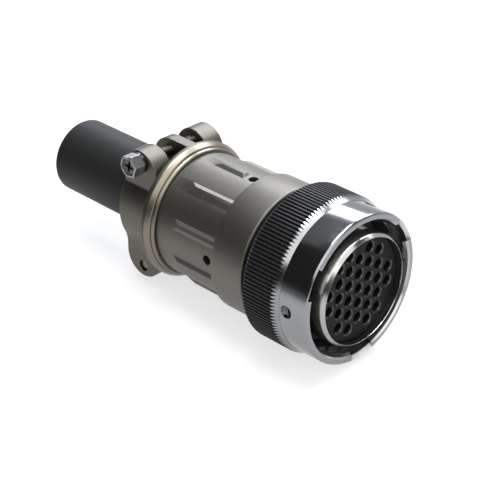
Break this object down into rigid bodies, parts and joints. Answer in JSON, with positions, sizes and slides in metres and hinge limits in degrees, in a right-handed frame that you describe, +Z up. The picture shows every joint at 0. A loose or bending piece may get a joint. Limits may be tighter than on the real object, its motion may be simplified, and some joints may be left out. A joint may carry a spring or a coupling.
{
  "type": "circular bayonet cable plug",
  "caption": "Straight circular cable plug with a field of socket contacts, a knurled bayonet coupling ring, a ribbed endbell and a saddle clamp that grips a rubber cable bushing.",
  "frame": {"origin": "on the plug's axis, at the face of the socket insert", "axes": "+X along the axis out of the mating face, +Z up with the polarising key at the top, +Y to the right for a viewer facing the mating face"},
  "size_m": [0.1224, 0.0488, 0.0488],
  "materials": {
    "ring_chrome": "polished bright plating",
    "grip_black": "matte black coating on turned metal",
    "shell_metal": "plain bright plating",
    "insert_resin": "dull moulded resin",
    "contact_metal": "bright plated contacts",
    "soft_seal": "dull soft rubber",
    "spring_steel": "plain spring steel",
    "endbell_nickel": "satin nickel plating, slightly warm",
    "clamp_nickel": "smooth champagne nickel plating",
    "screw_steel": "bright zinc",
    "washer_steel": "dark spring steel",
    "bushing_rubber": "smooth black rubber"
  },
  "bodies": {
    "plug": {"plug_shell": "shell_metal", "socket_insert": "insert_resin", "socket_contacts": "contact_metal", "wire_grommet": "soft_seal", "insert_clip": "insert_resin", "ring_gasket": "soft_seal", "wave_spring": "spring_steel", "retaining_ring": "spring_steel", "compression_ring": "shell_metal", "endbell": "endbell_nickel", "endbell_seal": "soft_seal", "clamp_body": "clamp_nickel", "cable_bushing": "bushing_rubber"},
    "ring": {"coupling_ring": "ring_chrome", "grip_ring": "grip_black"},
    "left": {"saddle_left": "clamp_nickel", "lock_washer_top": "washer_steel"},
    "right": {"saddle_right": "clamp_nickel", "lock_washer_bottom": "washer_steel"},
    "top_screw": {"clamp_screw_top": "screw_steel"},
    "bottom_screw": {"clamp_screw_bottom": "screw_steel"}
  },
  "joints": [
    {"name": "ring_turn", "type": "hinge", "parent": "plug", "child": "ring", "pos_m": [0, 0, 0], "axis": [1, 0, 0], "continuous": true},
    {"name": "saddle_left_open", "type": "slide", "parent": "plug", "child": "left", "axis": [0, -1, 0], "range_m": [0, 0.0015]},
    {"name": "saddle_right_open", "type": "slide", "parent": "plug", "child": "right", "axis": [0, 1, 0], "range_m": [0, 0.0015]},
    {"name": "top_screw_turn", "type": "hinge", "parent": "left", "child": "top_screw", "pos_m": [-0.076, 0, 0.018], "axis": [0, -1, 0], "range_deg": [0, 1361]},
    {"name": "bottom_screw_turn", "type": "hinge", "parent": "right", "child": "bottom_screw", "pos_m": [-0.076, 0, -0.018], "axis": [0, 1, 0], "range_deg": [0, 1361]}
  ],
  "couplings": [
    {"joint": "saddle_right_open", "follows": "saddle_left_open", "ratio": 1},
    {"joint": "top_screw_turn", "follows": "saddle_left_open", "rad_per_m": 15827},
    {"joint": "bottom_screw_turn", "follows": "saddle_left_open", "rad_per_m": 15827}
  ]
}
